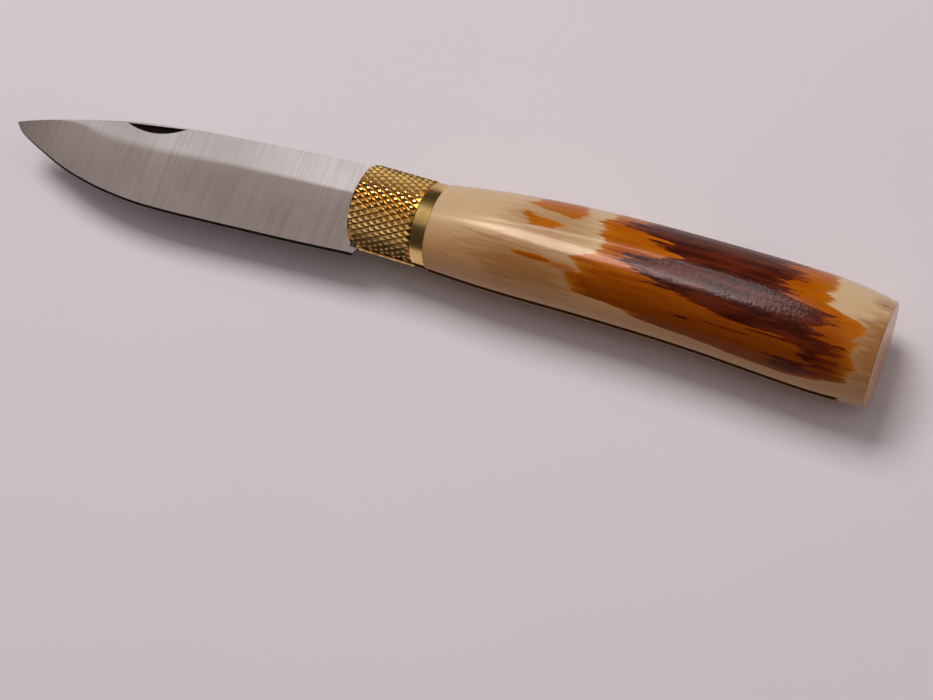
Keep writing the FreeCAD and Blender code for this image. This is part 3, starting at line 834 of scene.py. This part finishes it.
# %% Knurl
KNURL_COUNT = 40
KNURL_PERIOD = 2.37 * MM
KNURL_ROWS = 7
KNURL_SLOPE_SHARE = 0.72
RING_CHAMFER = 0.3 * MM
RING_SLOT_WIDTH = 2.4 * MM
RING_WALL = 1.25 * MM
LAND_WIDTH = 1.1 * MM
LAND_START = 3.7 * MM
KNURL_ROOT = RING_RADIUS - KNURL_DEPTH


def everything(bm):
    return bm.verts[:] + bm.edges[:] + bm.faces[:]


def cut_off(bm, point, normal):
    """Cut with a plane and throw away what lies on the side of its normal."""
    bmesh.ops.bisect_plane(
        bm, geom=everything(bm), dist=TINY, plane_co=point, plane_no=normal, clear_outer=True
    )


def set_radius(verts, radius):
    """Move points straight towards or away from the axis."""
    for vert in verts:
        spoke = Vector((0, vert.co.y - AXIS_Y, vert.co.z - AXIS_Z))
        vert.co += spoke.normalized() * radius - spoke


def remove_slot(bm, width):
    """Open a turned piece on its lower side: two cuts, and what is between them goes."""
    for side in (-1, 1):
        point = (0, AXIS_Y, AXIS_Z + side * width / 2)
        bmesh.ops.bisect_plane(bm, geom=everything(bm), dist=TINY, plane_co=point, plane_no=(0, 0, 1))
    middles = {face: face.calc_center_median() for face in bm.faces}
    sawn = [
        face for face, middle in middles.items() if middle.y < AXIS_Y and abs(middle.z - AXIS_Z) < width / 2
    ]
    bmesh.ops.delete(bm, geom=sawn, context="FACES")


bm = bmesh.new()
start_x = ring_low.x - KNURL_PERIOD / 2
spin_profile(bm, [(start_x + row * KNURL_PERIOD, KNURL_ROOT) for row in range(KNURL_ROWS)], KNURL_COUNT)
oblong_edges = [edge for edge in bm.edges if not edge.is_boundary]
poked = bmesh.ops.poke(bm, faces=bm.faces[:])
set_radius(poked["verts"], KNURL_ROOT)
bmesh.ops.dissolve_edges(bm, edges=oblong_edges, use_verts=False)
diamonds = [face for face in bm.faces if len(face.verts) == 4]
half_width = math.pi * KNURL_ROOT / KNURL_COUNT
half_length = KNURL_PERIOD / 2
inner_radius = half_width * half_length / math.hypot(half_width, half_length)
bmesh.ops.inset_individual(
    bm,
    faces=diamonds,
    thickness=inner_radius * KNURL_SLOPE_SHARE,
    depth=KNURL_DEPTH,
    use_even_offset=True,
)
bmesh.ops.recalc_face_normals(bm, faces=bm.faces[:])

# Trim to length, along the slanting edge of the smooth land, and beside the slot
cut_off(bm, (ring_low.x, 0, 0), (-1, 0, 0))
cut_off(bm, (ring_high.x, 0, 0), (1, 0, 0))
slant = Vector((RING_RADIUS - LAND_START, LAND_WIDTH, 0))
cut_off(bm, (ring_low.x, AXIS_Y - LAND_START, 0), -slant)
remove_slot(bm, RING_SLOT_WIDTH)

# Turn a chamfer on both ends
for end, inward in ((ring_low.x, 1), (ring_high.x, -1)):
    chamfer_x = end + inward * RING_CHAMFER
    bmesh.ops.bisect_plane(bm, geom=everything(bm), dist=TINY, plane_co=(chamfer_x, 0, 0), plane_no=(1, 0, 0))
    for vert in bm.verts:
        room = (vert.co.x - end) * inward
        limit = RING_RADIUS - RING_CHAMFER + max(room, 0)
        if room < RING_CHAMFER and (Vector((0, *vert.co.yz)) - AXIS).length > limit:
            set_radius([vert], limit)

# Sink the open rims into the core of the ring
rim = [edge for edge in bm.edges if edge.is_boundary]
sunk = bmesh.ops.extrude_edge_only(bm, edges=rim)
set_radius([item for item in sunk["geom"] if isinstance(item, bmesh.types.BMVert)], KNURL_ROOT - 0.2 * MM)

# %% Ring core
core_edge = 0.08 * MM
bore = RING_RADIUS - RING_WALL
core_outside = KNURL_ROOT - 0.01 * MM
core = bmesh.new()
spin_profile(
    core,
    [
        (ring_low.x, bore),
        (ring_low.x, core_outside - core_edge),
        (ring_low.x + core_edge, core_outside),
        (ring_high.x - core_edge, core_outside),
        (ring_high.x, core_outside - core_edge),
        (ring_high.x, bore),
        (ring_low.x, bore),
    ],
    120,
)
remove_slot(core, RING_SLOT_WIDTH)
bmesh.ops.holes_fill(core, edges=[edge for edge in core.edges if edge.is_boundary], sides=0)
bmesh.ops.recalc_face_normals(core, faces=core.faces[:])
core_mesh = bpy.data.meshes.new("ring_core")
core.to_mesh(core_mesh)
core.free()
bm.from_mesh(core_mesh)
bpy.data.meshes.remove(core_mesh)
knurled_ring = new_piece(bm, "knurled_ring", knurled_brass, 20)
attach(knurled_ring, "ring")
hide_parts("locking_ring")

# %% [markdown]
# ## The band
# The plain band is a simple lathe piece with broken edges. It is spun, opened for the blade, and closed
# again where the saw went through.

# %% Band
BAND_CHAMFER = 0.2 * MM
BAND_WALL = 1.18 * MM
bm = bmesh.new()
spin_profile(
    bm,
    [
        (band_low.x, BAND_RADIUS - BAND_WALL),
        (band_low.x, BAND_RADIUS - BAND_CHAMFER),
        (band_low.x + BAND_CHAMFER, BAND_RADIUS),
        (band_high.x - BAND_CHAMFER, BAND_RADIUS),
        (band_high.x, BAND_RADIUS - BAND_CHAMFER),
        (band_high.x, BAND_RADIUS - BAND_WALL),
        (band_low.x, BAND_RADIUS - BAND_WALL),
    ],
    160,
)
remove_slot(bm, SLOT_WIDTH)
bmesh.ops.holes_fill(bm, edges=[edge for edge in bm.edges if edge.is_boundary], sides=0)
bmesh.ops.recalc_face_normals(bm, faces=bm.faces[:])
plain_band = new_piece(bm, "plain_band", turned_brass, 30)
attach(plain_band, "grip")
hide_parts("rear_band")

# %% [markdown]
# ## The blade
# A blade is ground from flat bar: its sides are flat near the spine and run to the edge in long bevels,
# and a fine second bevel makes the edge itself. The belt leaves the line between flat and bevel soft, more
# so towards the tip. Cross-sections are drawn at stations along the blade and bridged into one skin. The
# tang, which the ring hides, is kept from the CAD blade, and the nail nick is ground in by a coned wheel,
# as it really is.

# %% Blade sections
# Millimetres: place from the ring's front; spine, start of bevel and edge from the axis; half thickness
BLADE_STATIONS = [
    (-0.10, 7.90, 1.85, -10.00, 0.90), (-7.0, 7.50, 1.45, -10.60, 0.90),
    (-15.0, 7.00, 1.05, -11.20, 0.90), (-23.0, 6.40, 0.60, -11.70, 0.89),
    (-31.0, 5.75, 0.10, -12.20, 0.87), (-39.0, 5.05, -0.60, -12.65, 0.85),
    (-47.0, 4.05, -1.15, -12.80, 0.82), (-55.0, 2.75, -1.40, -12.20, 0.78),
    (-60.0, 1.60, -1.10, -11.40, 0.74), (-65.0, 0.40, -0.45, -10.25, 0.69),
    (-70.0, -0.90, -1.00, -8.55, 0.59), (-75.0, -2.25, -2.35, -6.60, 0.35),
    (-77.5, -3.05, -3.10, -5.35, 0.19), (-79.2, -3.65, -3.70, -3.80, 0.05),
]
BLADE_STEPS = 12
BLADE_SHARP_DEGREES = 8
TANG_OVERLAP = 0.04 * MM
# Shares of the half thickness: height of the edge bevel, half width of its shoulder and of the edge
EDGE_BEVEL_SHARES = (0.50, 0.25, 0.033)
SOFT_AT_RING = 0.25 * MM
SOFT_PER_LENGTH = 0.012


def smooth_rows(rows, steps):
    """Rows on a smooth curve through the given ones, with so many steps between two of them."""
    smooth = []
    for number, (start, end) in enumerate(zip(rows, rows[1:])):
        before = rows[max(number - 1, 0)]
        after = rows[min(number + 2, len(rows) - 1)]
        for step in range(steps):
            share = step / steps
            row = []
            for first, low, high, last in zip(before, start, end, after):
                leaving = (high - first) * (end[0] - start[0]) / (end[0] - before[0])
                arriving = (last - low) * (end[0] - start[0]) / (after[0] - start[0])
                rise = high - low
                bend = share * (1 - share) * ((leaving - rise) * (1 - share) - (arriving - rise) * share)
                row.append(low + rise * share + bend)
            smooth.append(row)
    return smooth + [list(rows[-1])]


def blade_section(bm, row):
    """Closed line around the blade at one place, as its edges."""
    x, spine, bevel, edge, half = [value * MM for value in row]
    rise, shoulder, land = [share * half for share in EDGE_BEVEL_SHARES]
    bevel = min(bevel, spine - land)
    slope = (half - shoulder) / (bevel - edge - rise)
    soft = min(SOFT_AT_RING + SOFT_PER_LENGTH * abs(x), (spine - bevel) / 3)
    right = [(spine, half), (bevel + 2 * soft, half), (bevel + soft, half)]
    right += [(bevel - soft, half - slope * soft), (edge + rise, shoulder), (edge, land)]
    corners = right + [(up, -across) for up, across in reversed(right)]
    verts = [bm.verts.new((ring_low.x + x, AXIS_Y + up, AXIS_Z + across)) for up, across in corners]
    return [bm.edges.new(pair) for pair in zip(verts, verts[1:] + verts[:1])]


bm = bmesh.new()
sections = [blade_section(bm, row) for row in smooth_rows(BLADE_STATIONS, BLADE_STEPS)]
for section, following in zip(sections, sections[1:]):
    bmesh.ops.bridge_loops(bm, edges=section + following)
for section in (sections[0], sections[-1]):
    bmesh.ops.contextual_create(bm, geom=section)
bmesh.ops.recalc_face_normals(bm, faces=bm.faces[:])
blade_blank = new_piece(bm, "blade_blank", satin_steel, BLADE_SHARP_DEGREES)

# %% Grind the nail nick
NICK_PLACE = -48.6 * MM
NICK_LENGTH = 13.4 * MM
NICK_DEPTH = 0.5 * MM
NICK_HEIGHT = 1.6 * MM
NICK_STRIP = 0.25 * MM
wheel_radius = NICK_LENGTH ** 2 / (8 * NICK_DEPTH)


def blade_at(x):
    """Nearest section of the blade to a place."""
    return min(smooth_rows(BLADE_STATIONS, BLADE_STEPS), key=lambda row: abs(row[0] * MM - x))


ahead = blade_at(NICK_PLACE - NICK_LENGTH / 2)
behind = blade_at(NICK_PLACE + NICK_LENGTH / 2)
half_thickness = blade_at(NICK_PLACE)[-1] * MM
chord = Vector((behind[0] - ahead[0], behind[1] - ahead[1], 0)).normalized()
towards_edge = Vector((chord.y, -chord.x, 0))
wheel_middle = Vector((
    ring_low.x + NICK_PLACE,
    AXIS_Y + (ahead[1] + behind[1]) / 2 * MM - NICK_STRIP,
    AXIS_Z + half_thickness + wheel_radius - NICK_DEPTH,
))
bm = bmesh.new()
bmesh.ops.create_cone(
    bm,
    cap_ends=True,
    segments=512,
    radius1=wheel_radius,
    radius2=wheel_radius - 2 * NICK_DEPTH,
    depth=2 * NICK_HEIGHT,
    matrix=Matrix.Translation(wheel_middle + towards_edge * NICK_HEIGHT)
    @ Vector((0, 0, 1)).rotation_difference(towards_edge).to_matrix().to_4x4(),
)
nick_wheel = new_piece(bm, "nick_wheel", satin_steel)
grinding = blade_blank.modifiers.new("grinding", "BOOLEAN")
grinding.object = nick_wheel
grinding.operation = "DIFFERENCE"
grinding.solver = "EXACT"
evaluated = blade_blank.evaluated_get(bpy.context.evaluated_depsgraph_get())
nicked_mesh = bpy.data.meshes.new_from_object(evaluated)

# %% Join tang and heel
bm = bmesh.new()
bm.from_mesh(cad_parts["blade"].data)
cut_off(bm, (ring_low.x + BLADE_STATIONS[0][0] * MM - TANG_OVERLAP, 0, 0), (-1, 0, 0))
bmesh.ops.holes_fill(bm, edges=[edge for edge in bm.edges if edge.is_boundary], sides=0)
bm.from_mesh(nicked_mesh)
ground_blade = new_piece(bm, "ground_blade", satin_steel, BLADE_SHARP_DEGREES)
bpy.data.meshes.remove(nicked_mesh)
for helper in (blade_blank, nick_wheel):
    bpy.data.objects.remove(helper)
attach(ground_blade, "blade")
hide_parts("blade")

# %% [markdown]
# ## Finish
# The pieces join the collections that their reflection lamps light. The colours are shown as they
# are, with no film look.

# %% Finish
lit_handle.objects.link(antler_handle)
lit_ring.objects.link(knurled_ring)
lit_blade.objects.link(ground_blade)
bpy.context.scene.view_settings.view_transform = "Standard"
